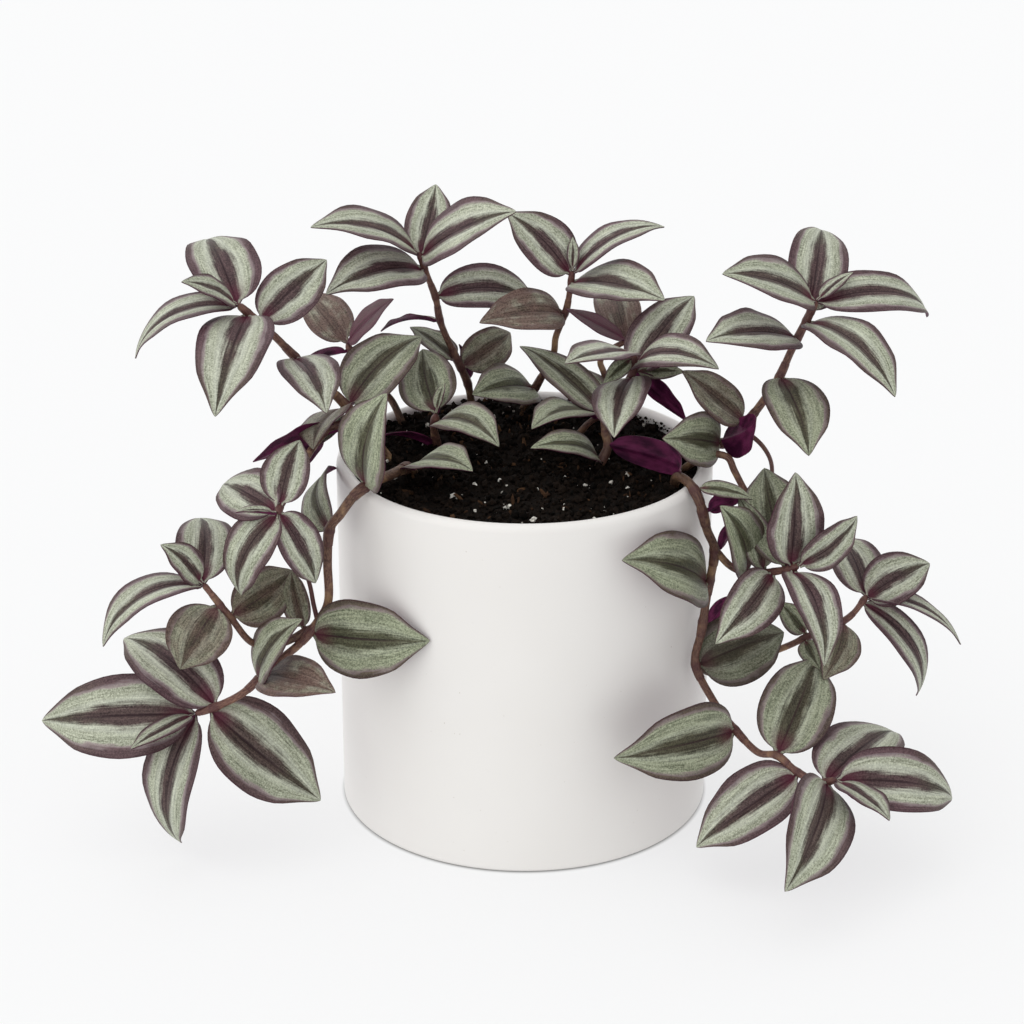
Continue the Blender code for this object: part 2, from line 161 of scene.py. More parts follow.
MORE_LEAVES = {     # smaller, inner and hidden ones
    "rear_left": [(0.73, 25, -15, 45, 43, 20, 85, FRESH), (0.35, 155, 30, 0, 21, 18, 25, OLDER),
                  (0.60, 170, -15, 20, 22, 15, 55, TINGED), (0.30, 45, 16, 50, 26, 17, 60, TINGED),
                  (0.20, 120, 65, 105, 14, 7, 25, DARK)],
    "rear_right": [(0.74, 212, 5, -35, 36, 21, 50, FADED), (0.21, 225, 10, -30, 32, 23, 40, OLDER)],
    "high_left": [(1.00, 220, 30, -35, 25, 13, 35, FRESH), (0.31, 250, -10, 25, 29, 22, 45, TINGED),
                  (0.27, 225, -30, 0, 17, 8, 25, OLDER), (0.30, 42, 27, 25, 39, 25, 50, OLDER)],
    "back_left": [(1.00, 330, 45, 40, 28, 15, 5, DARK), (0.93, 190, -15, 40, 18, 10, 25, FADED)],
    "inner_left": [(0.85, 315, 0, 15, 32, 20, 75, OLDER), (0.15, 205, 20, 25, 21, 11, 40, DARK)],
    "inner_mid": [(0.83, 230, 10, -5, 38, 21, 50, OLDER), (0.95, 120, 10, -5, 36, 18, 40, OLDER)],
    "left_trail": [(0.06, 315, 15, 10, 32, 22, 60, OLDER), (0.83, 330, 55, 55, 34, 20, 45, OLDER),
                   (0.81, 315, 10, 25, 38, 21, 40, FADED), (1.00, 220, -10, 5, 26, 14, 5, FRESH),
                   (0.40, 90, 16, -53, 36, 17, 76, OLDER)],
    "left_drape": [(0.99, 130, 0, -35, 32, 22, 50, FRESH), (0.98, 30, -66, 80, 32, 17, 50, FRESH),
                   (0.29, 204, -12, 57, 34, 15, 7, DARK), (0.38, 200, -52, 70, 18, 12, 30, DARK)],
    "left_branch": [(0.05, 110, 50, -35, 22, 11, 30, TINGED), (1.00, 195, 50, -45, 20, 14, 40, FRESH)],
    "high_right": [(1.00, 20, 33, 10, 15, 8, 25, FRESH), (0.66, 280, -20, 0, 42, 24, 15, OLDER),
                   (0.43, 181, 41, -34, 29, 20, 5, TINGED), (0.29, 235, 20, -80, 40, 21, 15, OLDER),
                   (0.30, 300, 35, -110, 26, 16, 40, DARK)],
    "inner_right": [(0.92, 320, 10, 25, 37, 20, 75, FRESH), (0.85, 0, 0, 40, 17, 8, 25, OLDER),
                    (0.84, 0, -45, -45, 26, 13, 5, DARK), (1.00, 230, 10, -5, 38, 21, 25, FRESH),
                    (0.95, 220, -25, -50, 14, 7, 25, OLDER), (0.21, 305, 5, -100, 42, 12, 85, DARK),
                    (0.08, 215, 20, -25, 32, 16, 70, OLDER)],
    "back_mid": [(1.00, 100, 10, -10, 38, 18, 65, FADED), (1.00, 185, 30, -15, 25, 13, 5, DARK)],
    "right_trail": [(1.00, 310, -10, -15, 25, 19, 20, FRESH), (0.13, 355, -10, 20, 19, 9, 25, OLDER),
                    (0.18, 10, 20, -85, 15, 8, 25, DARK), (0.28, 30, 50, -75, 14, 7, 25, DARK),
                    (0.45, 20, 40, -75, 14, 7, 25, DARK)],
    "right_branch": [(0.96, 80, 30, 20, 34, 18, 25, OLDER), (1.00, 30, 30, 80, 27, 15, 45, FRESH),
                     (0.94, 285, -30, -15, 40, 21, 75, FRESH), (0.71, 230, -25, -40, 36, 20, 35, FRESH),
                     (0.43, 230, 60, -85, 35, 22, 35, OLDER), (0.61, 130, 60, -10, 27, 14, 25, OLDER),
                     (0.86, 98, 28, -10, 46, 24, 30, OLDER)],
    "right_drape": [(1.00, 265, -65, 0, 17, 12, 30, OLDER)],
    "far_branch": [(0.63, 155, 45, -55, 15, 10, 25, OLDER), (0.61, 285, -15, 25, 16, 9, 25, OLDER),
                   (0.82, 250, -20, -35, 29, 18, 30, TINGED), (0.98, 20, 22, 40, 27, 21, 60, FRESH),
                   (1.00, 350, -25, 0, 38, 14, 65, FRESH)],
}
BUDS = {        # rolled young leaves at a tip
    "rear_right": (1.00, 90, 75, 0, 11, 6, 20, FRESH),
    "inner_left": (1.00, 60, 60, -10, 10, 6, 20, OLDER),
    "left_drape": (1.00, 200, 10, -5, 13, 7, 20, FRESH),
}

# ---- sizes of stems --------------------------------------------------------------------------------
STEM_SIDES = 14
STEM_STEP = 1.2                 # from one ring of points to the next
KNOT_LENGTH = 1.5               # how far a knot's swelling reaches to each side of its leaf
KNOT_SWELL = 0.28               # its height, as a share of the radius
ROUND_TIP = 1.6                 # length over which a tip is rounded off
BLUNT = 0.35                    # share of the radius that is left at the very end
SHEATH_ENDS = (-1.2, 5.5)       # where a leaf's sheath starts and ends, from the leaf's place
SHEATH_SWELL = (1.05, 1.22, 1.20, 1.17, 1.15, 1.10)     # its radius as a share of the stem's
SHEATH_PLUM = (0.9, 0.8, 0.6, 0.4, 0.3, 0.8)            # how plum it is
SHEATH_LEAST = 3.0              # least length of a sheath, and least way from one to the next
RUNNER_SIDES = 12
RUNNER_RINGS = 24
RUNNER_TAPER = 0.15

# ---- sizes of blades -------------------------------------------------------------------------------
ROWS = 26
COLUMNS = (0.0, 0.05, 0.13, 0.25, 0.38, 0.51, 0.64, 0.77, 0.89, 0.96, 1.0)     # of one half
OFF_STEM = 0.8                  # how far a blade starts from the skin of its stem
INTO_STEM = 0.8                 # its first row lies back from there, by this share of the way in
ASIDE = 0.8                     # how far a side leaf starts square to its stem, 0 to 1
TIP_LEAF = 0.97                 # from this place on, a leaf springs from the tip, not from the side
WIDEST = (0.45, 0.78)           # the half width goes as t^a (1-t)^b, t from base to tip
DRAWN_IN = (0.25, 0.70, 0.94)   # share by which it narrows more, between these two places
LEAST_BASE = 0.9                # least half width at the base
LEAST_TIP = 0.12                # and at the tip
FOLD = 15.0                     # how far the halves rise beside the midrib, in degrees
BUD_FOLD = 45.0
TIP_FOLD = 0.5                  # share of the fold that is gone at the tip
MARGIN_FOLD = 0.45              # and share of the rise that is gone at the margin
USUAL_LENGTH = 45               # droop is given for this length,
USUAL_WIDTH = 26                # and groove and waves for this width
DROOP = (0.3, 1.4)              # least and most that the last quarter drops
BOW = 0.035                     # most sideways bow, as a share of the length
TWIST = 9.0                     # most twist, in degrees
UNTWISTED = 0.4                 # where along the blade it isn't twisted
LOPSIDED = 0.05                 # most by which one half is wider, and the other narrower
GROOVE = 0.45                   # depth of the groove over the midrib
GROOVE_WIDTH = 0.9
WAVES = (1.6, 2.8)              # fewest and most waves along a margin
WAVE_HEIGHT = (0.25, 0.75)
THICK = 0.5                     # thickness at the midrib
THINNING = 0.22                 # how much thinner the margin is
KEEL = 0.5                      # how far the midrib stands out below
KEEL_WIDTH = 0.8
AGE_SPREAD = (-0.13, 0.15)      # how much the ages of leaves of one look differ
LEAF_SEED = 11


# ---- small helpers ---------------------------------------------------------------------------------
def unit(vector):
    """The same directions with length 1."""
    return vector / np.linalg.norm(vector, axis=-1, keepdims=True)


def smooth_step(low, high, value):
    """0 below low, 1 above high, and 3t^2 - 2t^3 between them."""
    t = np.clip((value - low) / (high - low), 0, 1)
    return t * t * (3 - 2 * t)


def add_piece(name, points, faces, material, smooth=True):
    """A mesh object from points in millimetres, which rides on the plant's one body."""
    mesh = bpy.data.meshes.new(name)
    mesh.from_pydata((np.asarray(points) * MM).tolist(), [], faces)
    mesh.materials.append(material)
    if smooth:
        mesh.shade_smooth()
        mesh.set_sharp_from_angle(angle=math.radians(50))
    piece = bpy.data.objects.new(name, mesh)
    bpy.context.scene.collection.objects.link(piece)
    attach(piece, "root")
    return piece


def put_values(piece, name, values):
    """Stores one number for each point of a piece, for its material to read."""
    attribute = piece.data.attributes.new(name, "FLOAT", "POINT")
    attribute.data.foreach_set("value", np.asarray(values, np.float32))


def put_uv(piece, across, along):
    """Gives each corner of each face the place across and along of its point."""
    layer = piece.data.uv_layers.new(name="UVMap")
    corners = np.empty(len(piece.data.loops), np.int32)
    piece.data.loops.foreach_get("vertex_index", corners)
    places = np.stack([across, along], axis=1).astype(np.float32)
    layer.data.foreach_set("uv", places[corners].ravel())


def ring_faces(rings, sides, first=0):
    """Quads between rings of points that follow one another, both ends closed by a flat face."""
    here = first + np.arange(rings * sides).reshape(rings, sides)
    beside = np.roll(here, -1, axis=1)
    quads = np.stack([here[:-1], beside[:-1], beside[1:], here[1:]], axis=-1)
    return [here[0, ::-1].tolist(), *quads.reshape(-1, 4).tolist(), here[-1].tolist()]


def turned(profile, sides):
    """Rings of points: each (radius, height) of a profile carried once round the upright axis."""
    radius, height = np.array(profile).T[..., None]
    turn = np.arange(sides) * 2 * math.pi / sides
    rings = [radius * np.cos(turn), radius * np.sin(turn), height + 0 * turn]
    return np.stack(rings, axis=-1).reshape(-1, 3)


def curve_through(points, steps=16):
    """A Catmull-Rom curve through a route's points: a cubic between each two of them."""
    p = np.array(points, float)
    p = np.vstack([2 * p[0] - p[1], p, 2 * p[-1] - p[-2]])
    t = np.linspace(0, 1, steps, endpoint=False)[:, None]
    stretches = []
    for a, b, c, d in zip(p[:-3], p[1:-2], p[2:-1], p[3:]):
        stretches.append(0.5 * (2 * b + (c - a) * t + (2 * a - 5 * b + 4 * c - d) * t ** 2
                                + (3 * b - a - 3 * c + d) * t ** 3))
    return np.vstack(stretches + [p[-2:-1]])


def lengths_along(curve):
    """How far along a curve each of its points lies."""
    return np.concatenate([[0], np.cumsum(np.linalg.norm(np.diff(curve, axis=0), axis=1))])


def sample(curve, places):
    """Points and directions of a curve at places from 0 to 1 along its length."""
    along = lengths_along(curve)
    where = np.asarray(places) * along[-1]

    def point_at(distance):
        return np.stack([np.interp(distance, along, curve[:, k]) for k in range(3)], axis=1)

    return point_at(where), unit(point_at(where + 1.0) - point_at(where - 1.0))


def tube(centres, radii, sides):
    """Circles around a line, each square to it and turned as little as possible from the last."""
    ahead = unit(np.gradient(centres, axis=0))
    side = unit(np.cross(ahead[0], (0.3, 1.0, 0.2)))
    turns = np.radians(np.arange(sides) * 360.0 / sides)[:, None]
    rings = []
    for centre, direction, radius in zip(centres, ahead, radii):
        side = unit(side - direction * np.dot(side, direction))
        across = np.cross(direction, side)
        rings.append(centre + radius * (side * np.cos(turns) + across * np.sin(turns)))
    return np.vstack(rings)


# ---- materials -------------------------------------------------------------------------------------
class Nodes:
    """Short names for building one material's node tree. A value is a number or a node's output."""

    def __init__(self, name):
        self.material = bpy.data.materials.new(name)
        self.material.use_nodes = True
        self.tree = self.material.node_tree
        self.shader = self.tree.nodes["Principled BSDF"]

    def put(self, socket, value):
        if isinstance(value, bpy.types.NodeSocket):
            self.tree.links.new(value, socket)
        else:
            socket.default_value = value

    def add(self, kind, output, inputs, **settings):
        """A new node with its settings and inputs, of which one output is returned."""
        node = self.tree.nodes.new(kind)
        for key, value in settings.items():
            setattr(node, key, value)
        for key, value in inputs.items():
            self.put(node.inputs[key], value)
        return node.outputs[output]

    def math(self, operation, a, b=0.0, c=0.0, clamp=False):
        return self.add("ShaderNodeMath", 0, {0: a, 1: b, 2: c}, operation=operation, use_clamp=clamp)

    def times(self, a, b):
        return self.math("MULTIPLY", a, b)

    def plus(self, a, b):
        return self.math("ADD", a, b)

    def line(self, value, slope, start, clamp=False):
        """slope times value, plus start"""
        return self.math("MULTIPLY_ADD", value, slope, start, clamp)

    def step(self, low, high, value):
        """0 below low, 1 above high and smooth between them; low may be the larger one."""
        return self.add("ShaderNodeMapRange", 0, {"Value": value, "From Min": low, "From Max": high},
                        interpolation_type="SMOOTHSTEP")

    def mix(self, share, a, b):
        """Colour a where share is 0, and b where it is 1."""
        node = self.tree.nodes.new("ShaderNodeMix")
        node.data_type = "RGBA"
        for key, value in ((0, share), (6, a), (7, b)):
            self.put(node.inputs[key], value)
        return node.outputs[2]

    def value(self, name):
        """What put_values stored under this name."""
        return self.add("ShaderNodeAttribute", "Fac", {}, attribute_name=name)

    def uv(self):
        """What put_uv stored: the place across and along."""
        split = self.tree.nodes.new("ShaderNodeSeparateXYZ")
        self.put(split.inputs[0], self.add("ShaderNodeUVMap", 0, {}, uv_map="UVMap"))
        return split.outputs[0], split.outputs[1]

    def place(self):
        return self.add("ShaderNodeTexCoord", "Object", {})

    def noise(self, vector, scale, detail=4.0, roughness=0.55):
        return self.add("ShaderNodeTexNoise", "Fac", {"Vector": vector, "Scale": scale,
                                                      "Detail": detail, "Roughness": roughness})

    def streaks(self, uv, across, along, seed, detail, roughness=0.55):
        """Noise stretched along a piece, by its scale across, its scale along and where it starts."""
        x, y = self.times(uv[0], across), self.times(uv[1], along)
        vector = self.add("ShaderNodeCombineXYZ", 0, {0: x, 1: y, 2: seed})
        return self.noise(vector, 1.0, detail, roughness)

    def bump(self, height, strength, distance):
        normal = self.add("ShaderNodeBump", 0, {"Height": height, "Strength": strength,
                                                "Distance": distance})
        self.put(self.shader.inputs["Normal"], normal)

    def finish(self, **sockets):
        """Puts values into the shader's inputs, named in small letters, and returns the material."""
        for key, value in sockets.items():
            self.put(self.shader.inputs[key.replace("_", " ").title().replace("Ior", "IOR")], value)
        return self.material


def rgb(red, green, blue):
    """A colour as it is seen, 0 to 255, turned into the linear one that shaders take."""
    seen = np.array([red, green, blue]) / 255
    linear = np.where(seen <= 0.04045, seen / 12.92, ((seen + 0.055) / 1.055) ** 2.4)
    return (*linear.tolist(), 1.0)


LEAF_SHADES = {     # each leaf colour where its speckle is low, and where it is high
    "silver": ((114, 117, 99), (210, 214, 193)),
    "old silver": ((82, 90, 66), (182, 190, 160)),
    "centre": ((42, 24, 30), (104, 80, 82)),
    "old centre": ((44, 46, 32), (94, 98, 72)),
    "border": ((58, 38, 44), (110, 84, 90)),
    "old border": ((56, 52, 38), (100, 98, 74)),
    "faded": ((66, 46, 42), (132, 108, 98)),
    "wine": ((112, 54, 78), (60, 22, 42)),
    "plum": ((106, 40, 78), (52, 12, 40)),
}
PAINTED_HIGHLIGHT = rgb(222, 226, 212)       # painted highlight: the silver's brightest line, beside the midrib band
SEAM = rgb(150, 124, 138)       # between silver and border
VEIN = rgb(66, 58, 48)
EDGE = rgb(60, 34, 40)
MIDRIB = rgb(44, 24, 30)
FOOT = rgb(92, 32, 54)          # the blush at the blade's base
# The colour of the painted shade that a look's last number lays over a leaf.
SHADE = rgb(42, 38, 30)


def leaf_material():
    """Two silver stripes between a dark midrib band and a dark margin; plum underneath.

    Across a half blade, 0 is the midrib and 1 the margin. The stripes' edges are frayed along the
    veins by noise that is stretched from base to tip. Each later colour is painted over those
    before it.
    """
    n = Nodes("leaf")
    uv = n.uv()
    v = uv[1]
    across = n.math("ABSOLUTE", n.line(uv[0], 2.0, -1.0))
    seed = n.times(n.value("seed"), 37.0)
    age, brown, under = n.value("age"), n.value("brown"), n.value("under")
    streaks = n.streaks(uv, 30.0, 3.0, seed, 5.0, 0.7)
    veins = n.streaks(uv, 75.0, 2.5, seed, 3.0, 0.5)
    clouds = n.streaks(uv, 3.0, 4.0, seed, 3.0)
    grain = n.noise(n.place(), 1500.0, 3.0, 0.8)

    def shades(name, speckle):
        low, high = LEAF_SHADES[name]
        return n.mix(speckle, rgb(*low), rgb(*high))

    # Where the stripes lie. The band narrows to the tip, and so does the border, which is also
    # narrower on an older leaf. Both edges are soft.
    frayed = across
    for pattern, depth in ((streaks, 0.34), (clouds, 0.32), (grain, 0.06)):
        frayed = n.plus(frayed, n.line(pattern, depth, -depth / 2))
    band = n.line(n.math("POWER", v, 2.0), -0.20, 0.32)
    rim = n.line(n.math("POWER", v, 3.0), 0.10, n.line(age, 0.09, 0.74))
    inside = n.step(n.plus(band, -0.12), n.plus(band, 0.12), frayed)
    outside = n.step(n.plus(rim, -0.09), n.plus(rim, 0.09), frayed)
    # A painted highlight: a lighter line of silver just outside the band.
    highlight_mask = n.times(inside, n.step(n.plus(band, 0.26), n.plus(band, 0.06), frayed))
    seam = n.times(outside, n.math("SUBTRACT", 1.0, outside))

    # Where the other marks lie. The dark colours turn green with age, and from the tip inwards.
    midrib = n.times(n.step(0.05, 0.015, across), n.step(1.0, 0.3, v))
    foot = n.times(n.step(0.22, 0.0, v), n.step(0.7, 0.1, across))
    patches = n.times(brown, n.step(0.28, 0.62, clouds))
    tipward = n.step(0.35, 0.95, n.line(clouds, 0.8, n.plus(v, -0.4)))
    dark_age = n.math("MAXIMUM", age, n.times(tipward, 0.65))

    specks = n.step(0.36, 0.64, n.line(streaks, 0.45, n.times(grain, 0.55)))
    silver = n.mix(age, shades("silver", specks), shades("old silver", specks))
    border = n.mix(n.times(dark_age, 0.7), shades("border", specks), shades("old border", specks))
    colour = n.mix(dark_age, shades("centre", specks), shades("old centre", specks))
    for share, paint in (
            (inside, silver),
            (outside, border),
            # the painted highlight, fainter on older leaves
            (n.times(highlight_mask, n.line(age, -0.3, 0.4)), PAINTED_HIGHLIGHT),
            (n.times(seam, 1.8), SEAM),
            (n.times(n.step(0.60, 0.67, veins), 0.3), VEIN),
            (n.times(n.step(0.94, 1.0, across), 0.8), EDGE),
            (n.times(midrib, 0.8), MIDRIB),
            (n.times(foot, 0.8), FOOT),
            (n.line(patches, 0.7, n.times(brown, 0.3)), shades("faded", specks)),
            (n.value("wine"), shades("wine", n.step(0.3, 0.7, streaks))),
            # painted shade, on leaves that lie in the shade of others
            (n.value("painted_shade"), SHADE),
            (under, shades("plum", n.step(0.3, 0.7, clouds)))):
        colour = n.mix(share, colour, paint)
    n.bump(n.line(veins, 0.6, n.times(grain, 0.4)), 0.5, 0.0006)
    return n.finish(base_color=colour, roughness=n.line(grain, 0.2, 0.36),
                    specular_ior_level=n.line(under, -0.1, 0.22))


def stem_material():
    """Brown low down, fleshy pink near the tips, tan in blotches and plum at the knots, all lined."""
    n = Nodes("stem")
    lines = n.streaks(n.uv(), 22.0, 60.0, 0.0, 4.0, 0.6)
    blotches = n.noise(n.place(), 120.0, 3.0)
    tipward = n.math("ADD", n.value("place"), n.line(blotches, 1.2, -0.6), clamp=True)
    tan = n.times(n.step(0.52, 0.66, blotches), n.step(0.3, 0.6, lines))
    woody = n.mix(n.step(0.35, 0.65, lines), rgb(104, 80, 62), rgb(58, 40, 32))
    fleshy = n.mix(n.step(0.35, 0.65, lines), rgb(140, 102, 88), rgb(92, 60, 56))
    colour = n.mix(tipward, woody, fleshy)
    colour = n.mix(n.times(tan, 0.8), colour, rgb(166, 136, 100))
    colour = n.mix(n.times(n.value("knot"), 0.7), colour, rgb(72, 36, 44))
    n.bump(lines, 0.35, 0.0005)
    return n.finish(base_color=colour, roughness=0.45, specular_ior_level=0.3)


def glaze_material():
    """Smooth white glaze with a faint warm mottle and the odd pinhole."""
    n = Nodes("glaze")
    clouds = n.noise(n.place(), 14.0, 3.0)
    pits = n.noise(n.place(), 900.0, 1.0)
    colour = n.mix(clouds, rgb(238, 236, 233), rgb(231, 228, 224))
    colour = n.mix(n.step(0.78, 0.84, pits), colour, rgb(206, 200, 192))
    n.bump(n.noise(n.place(), 22.0, 2.0), 0.12, 0.001)
    return n.finish(base_color=colour, roughness=n.line(clouds, 0.12, 0.30))


def grain_material(name, light, dark, scale, depth):
    """Loose stuff: two colours mixed by noise and by each grain's own tint."""
    n = Nodes(name)
    spots = n.noise(n.place(), scale, 5.0, 0.7)
    share = n.line(n.value("tint"), 0.6, n.line(spots, 1.4, -0.5), clamp=True)
    n.bump(spots, 0.8, depth)
    return n.finish(base_color=n.mix(share, dark, light), roughness=0.95, specular_ior_level=0.1)


# ---- pot -------------------------------------------------------------------------------------------
def arc(centre, radius, start, end, steps):
    """Points of a round corner in the (radius, height) plane, from one angle to another."""
    angles = np.radians(np.linspace(start, end, steps + 1))
    return np.stack([centre[0] + radius * np.cos(angles), centre[1] + radius * np.sin(angles)], axis=1)


def make_pot(material):
    """A profile turned once round: rounded foot, straight wall, half-round rim, round inner corner."""
    foot, lip = 1.4, WALL / 2       # radius of the foot's edge, and of the rim
    flat = 9.0                      # how far in the flat base's one ring lies
    plain = 20.0                    # how far from base and rim the wall's own rings lie
    inner = POT_R - WALL
    profile = np.vstack([
        [(POT_R - flat, 0.0)],
        arc((POT_R - foot, foot), foot, -90, 0, 5),
        [(POT_R, height) for height in np.linspace(plain, POT_H - plain, 6)],
        arc((POT_R - lip, POT_H - lip), lip, 0, 180, 14),
        arc((inner - CORNER, FLOOR + CORNER), CORNER, 0, -90, 5)])
    piece = add_piece("glazed_pot", turned(profile, POT_SIDES), ring_faces(len(profile), POT_SIDES),
                      material)
    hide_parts("pot")


# ---- potting mix -----------------------------------------------------------------------------------
def fractal(x, y, size, level, growth, layers):
    """Layered noise over the mix, one place at a time, because the noise takes no arrays."""
    places = [Vector((a / size, b / size, level)) for a, b in zip(x, y)]
    return np.array([noise.fractal(place, 1.0, growth, layers) for place in places])


def mix_height(x, y):
    """Height of the mix: it rises to the back, dips at the right rear, and has clods in two sizes."""
    back = MIX_RISE * smooth_step(-0.3, 1.0, y / MIX_R)
    back -= MIX_DIP * smooth_step(0.3, 0.9, x / MIX_R) * smooth_step(-0.3, 0.4, y / MIX_R)
    clods = fractal(x, y, 9, 0.3, 2.1, 3)
    grit = fractal(x, y, 2.6, 7.1, 2.0, 2)
    return MIX_TOP + back + MIX_LUMPS * (clods + 0.35 * grit)


def make_mix(material):
    """A plug that fills the pot, its top in rings that shrink to the middle and follow mix_height."""
    foot = [(MIX_R - CORNER, FLOOR + TOUCH), (MIX_R, FLOOR + TOUCH + CORNER)]
    top = turned([(MIX_R * (1 - k / MIX_RINGS), 0.0) for k in range(MIX_RINGS)], MIX_SIDES)
    top[:, 2] = mix_height(top[:, 0], top[:, 1])
    points = np.vstack([turned(foot, MIX_SIDES), top])
    piece = add_piece("mix_plug", points, ring_faces(len(foot) + MIX_RINGS, MIX_SIDES), material)
    put_values(piece, "tint", np.zeros(len(points)))
    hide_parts("potting_mix")


def ball_shape(detail):
    """Points and triangles of a ball with 20 or 80 faces."""
    ball = bmesh.new()
    bmesh.ops.create_icosphere(ball, subdivisions=detail, radius=1.0)
    points = np.array([tuple(v.co) for v in ball.verts])
    faces = np.array([[v.index for v in f.verts] for f in ball.faces])
    ball.free()
    return points, faces


def random_turns(rng, count):
    """Rotation matrices in random directions, from random quaternions."""
    w, x, y, z = unit(rng.normal(size=(count, 4))).T
    rows = [1 - 2 * (y * y + z * z), 2 * (x * y - z * w), 2 * (x * z + y * w),
            2 * (x * y + z * w), 1 - 2 * (x * x + z * z), 2 * (y * z - x * w),
            2 * (x * z - y * w), 2 * (y * z + x * w), 1 - 2 * (x * x + y * y)]
    return np.stack(rows, axis=-1).reshape(count, 3, 3)


def uneven_balls(rng, widths, detail, uneven, most):
    """A ball for each row of widths, its points moved in and out at random, and then turned.

    uneven is the usual move as a share of the radius, and most is the furthest outward, in usual
    moves. Returns the points of each ball about its own middle, and the triangles of all.
    """
    count = len(widths)
    ball, faces = ball_shape(detail)
    shapes = ball * (1 + uneven * rng.normal(size=(count, len(ball), 1)).clip(-1.5, most))
    shapes = np.einsum("nij,nkj->nki", random_turns(rng, count), shapes * widths[:, None] / 2)
    triangles = (faces + np.arange(count)[:, None, None] * len(ball)).reshape(-1, 3)
    return shapes, triangles.tolist()


def add_grains(name, grains, triangles, tints, material):
    """One piece of all grains, each of them with its own tint."""
    piece = add_piece(name, grains.reshape(-1, 3), triangles, material, smooth=False)
    put_values(piece, "tint", np.repeat(tints, grains.shape[1]))


def scatter(name, material, seed, count, size, stretch, detail, sink, tint):
    """Grains strewn over the mix: uneven balls of random size, stretch and turn, part sunk in.

    Most are small, because their sizes follow a power of an even spread. What would reach into the
    wall is drawn in from it.
    """
    rng = np.random.default_rng(seed)
    radius = STREWN * MIX_R * np.sqrt(rng.random(count))
    angle = rng.random(count) * 2 * math.pi
    x, y = radius * np.cos(angle), radius * np.sin(angle)
    sizes = size[0] + (size[1] - size[0]) * rng.random(count) ** FINENESS
    widths = sizes[:, None] * (1 + (np.array(stretch) - 1) * rng.random((count, 3)))
    shapes, triangles = uneven_balls(rng, widths, detail, 0.28, 1.5)
    height = mix_height(x, y) - shapes[..., 2].min(axis=1) * (1 - sink)
    grains = shapes + np.stack([x, y, height], axis=1)[:, None]
    away = np.hypot(grains[..., 0], grains[..., 1])
    grains[..., :2] *= np.minimum(1, GRAINS_R / away)[..., None]
    tints = tint[0] + (tint[1] - tint[0]) * rng.random(count)
    add_grains(name, grains, triangles, tints, material)


def wall_crumbs(name, material, seed, count, start, end):
    """Specks of mix, 0.5 to 1.6 mm wide, stuck to the inner wall between two angles.

    They lie thickest where they meet the mix, and end 1.5 mm below the rim.
    """
    rng = np.random.default_rng(seed)
    angle = np.radians(start + (end - start) * rng.random(count))
    size = 0.5 + 1.1 * rng.random(count) ** 2
    height = MIX_TOP + (POT_H - MIX_TOP - 1.5) * rng.random(count) ** 1.6
    radius = GRAINS_R - size / 2
    centres = np.stack([radius * np.cos(angle), radius * np.sin(angle), height], axis=1)
    shapes, triangles = uneven_balls(rng, 0.9 * size[:, None], 1, 0.25, 1.2)
    add_grains(name, shapes + centres[:, None], triangles, 0.4 * rng.random(count), material)


# ---- stems -----------------------------------------------------------------------------------------
def leaf_places(shoot):
    """Places along a shoot where leaves sit, from root to tip."""
    return sorted(row[0] for row in LEAVES.get(shoot, []) + MORE_LEAVES.get(shoot, []))


def dress_stem(piece, sides, along, place, plum):
    """Stores what the stem's material reads, which is given once for each ring of points."""
    put_uv(piece, np.tile(np.arange(sides) / sides, len(along)), np.repeat(along, sides))
    put_values(piece, "place", np.repeat(place, sides))
    put_values(piece, "knot", np.repeat(plum, sides))


def make_shoot(shoot, material):
    """The stem with a knot under every leaf, and a thin sheath that clasps it above the knot.

    The stem's radius changes evenly from root to tip, swells in a bell curve at each knot and is
    rounded off at the tip. A sheath is a short tube that is a little wider than the stem.
    """
    start, end, route = SHOOTS[shoot]
    curve = curve_through(route)
    length = lengths_along(curve)[-1]

    def plain_radius(places):
        rounding = smooth_step(0, ROUND_TIP, (1 - places) * length)
        return (start + (end - start) * places) * (BLUNT + (1 - BLUNT) * rounding)

    places = np.linspace(0, 1, round(length / STEM_STEP) + 1)
    knots = np.zeros(len(places))
    for place in leaf_places(shoot):
        knots = np.maximum(knots, np.exp(-((places - place) * length / KNOT_LENGTH) ** 2))
    tubes = [(places, plain_radius(places) * (1 + KNOT_SWELL * knots), knots)]
    last = -1.0
    for place in leaf_places(shoot):
        if (place - last) * length < SHEATH_LEAST:
            continue
        last = place
        low, high = np.clip(place + np.array(SHEATH_ENDS) / length, 0, 1)
        if high - low >= SHEATH_LEAST / length:
            places = np.linspace(low, high, len(SHEATH_SWELL))
            tubes.append((places, plain_radius(places) * SHEATH_SWELL, SHEATH_PLUM))

    points, faces = [], []
    for places, radii, _ in tubes:
        faces += ring_faces(len(places), STEM_SIDES, sum(len(part) for part in points))
        points.append(tube(sample(curve, places)[0], radii, STEM_SIDES))
    places, _, plum = (np.concatenate(column) for column in zip(*tubes))
    piece = add_piece(shoot + "_shoot", np.vstack(points), faces, material)
    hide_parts(BRANCH_OF.get(shoot, shoot) + "_stem")
    dress_stem(piece, STEM_SIDES, places * length / 100, places, plum)


def make_runner(name, material):
    """A thin bare shoot that tapers a little and ends in a round tip."""
    radius, plum, route = RUNNERS[name]
    places = np.linspace(0, 1, RUNNER_RINGS)
    rounding = BLUNT + (1 - BLUNT) * smooth_step(0, 0.1, 1 - places)
    radii = radius * (1 - RUNNER_TAPER * places) * rounding
    points = tube(sample(curve_through(route), places)[0], radii, RUNNER_SIDES)
    piece = add_piece(name, points, ring_faces(RUNNER_RINGS, RUNNER_SIDES), material)
    dress_stem(piece, RUNNER_SIDES, places * 0.2, np.ones(RUNNER_RINGS), np.full(RUNNER_RINGS, plum))


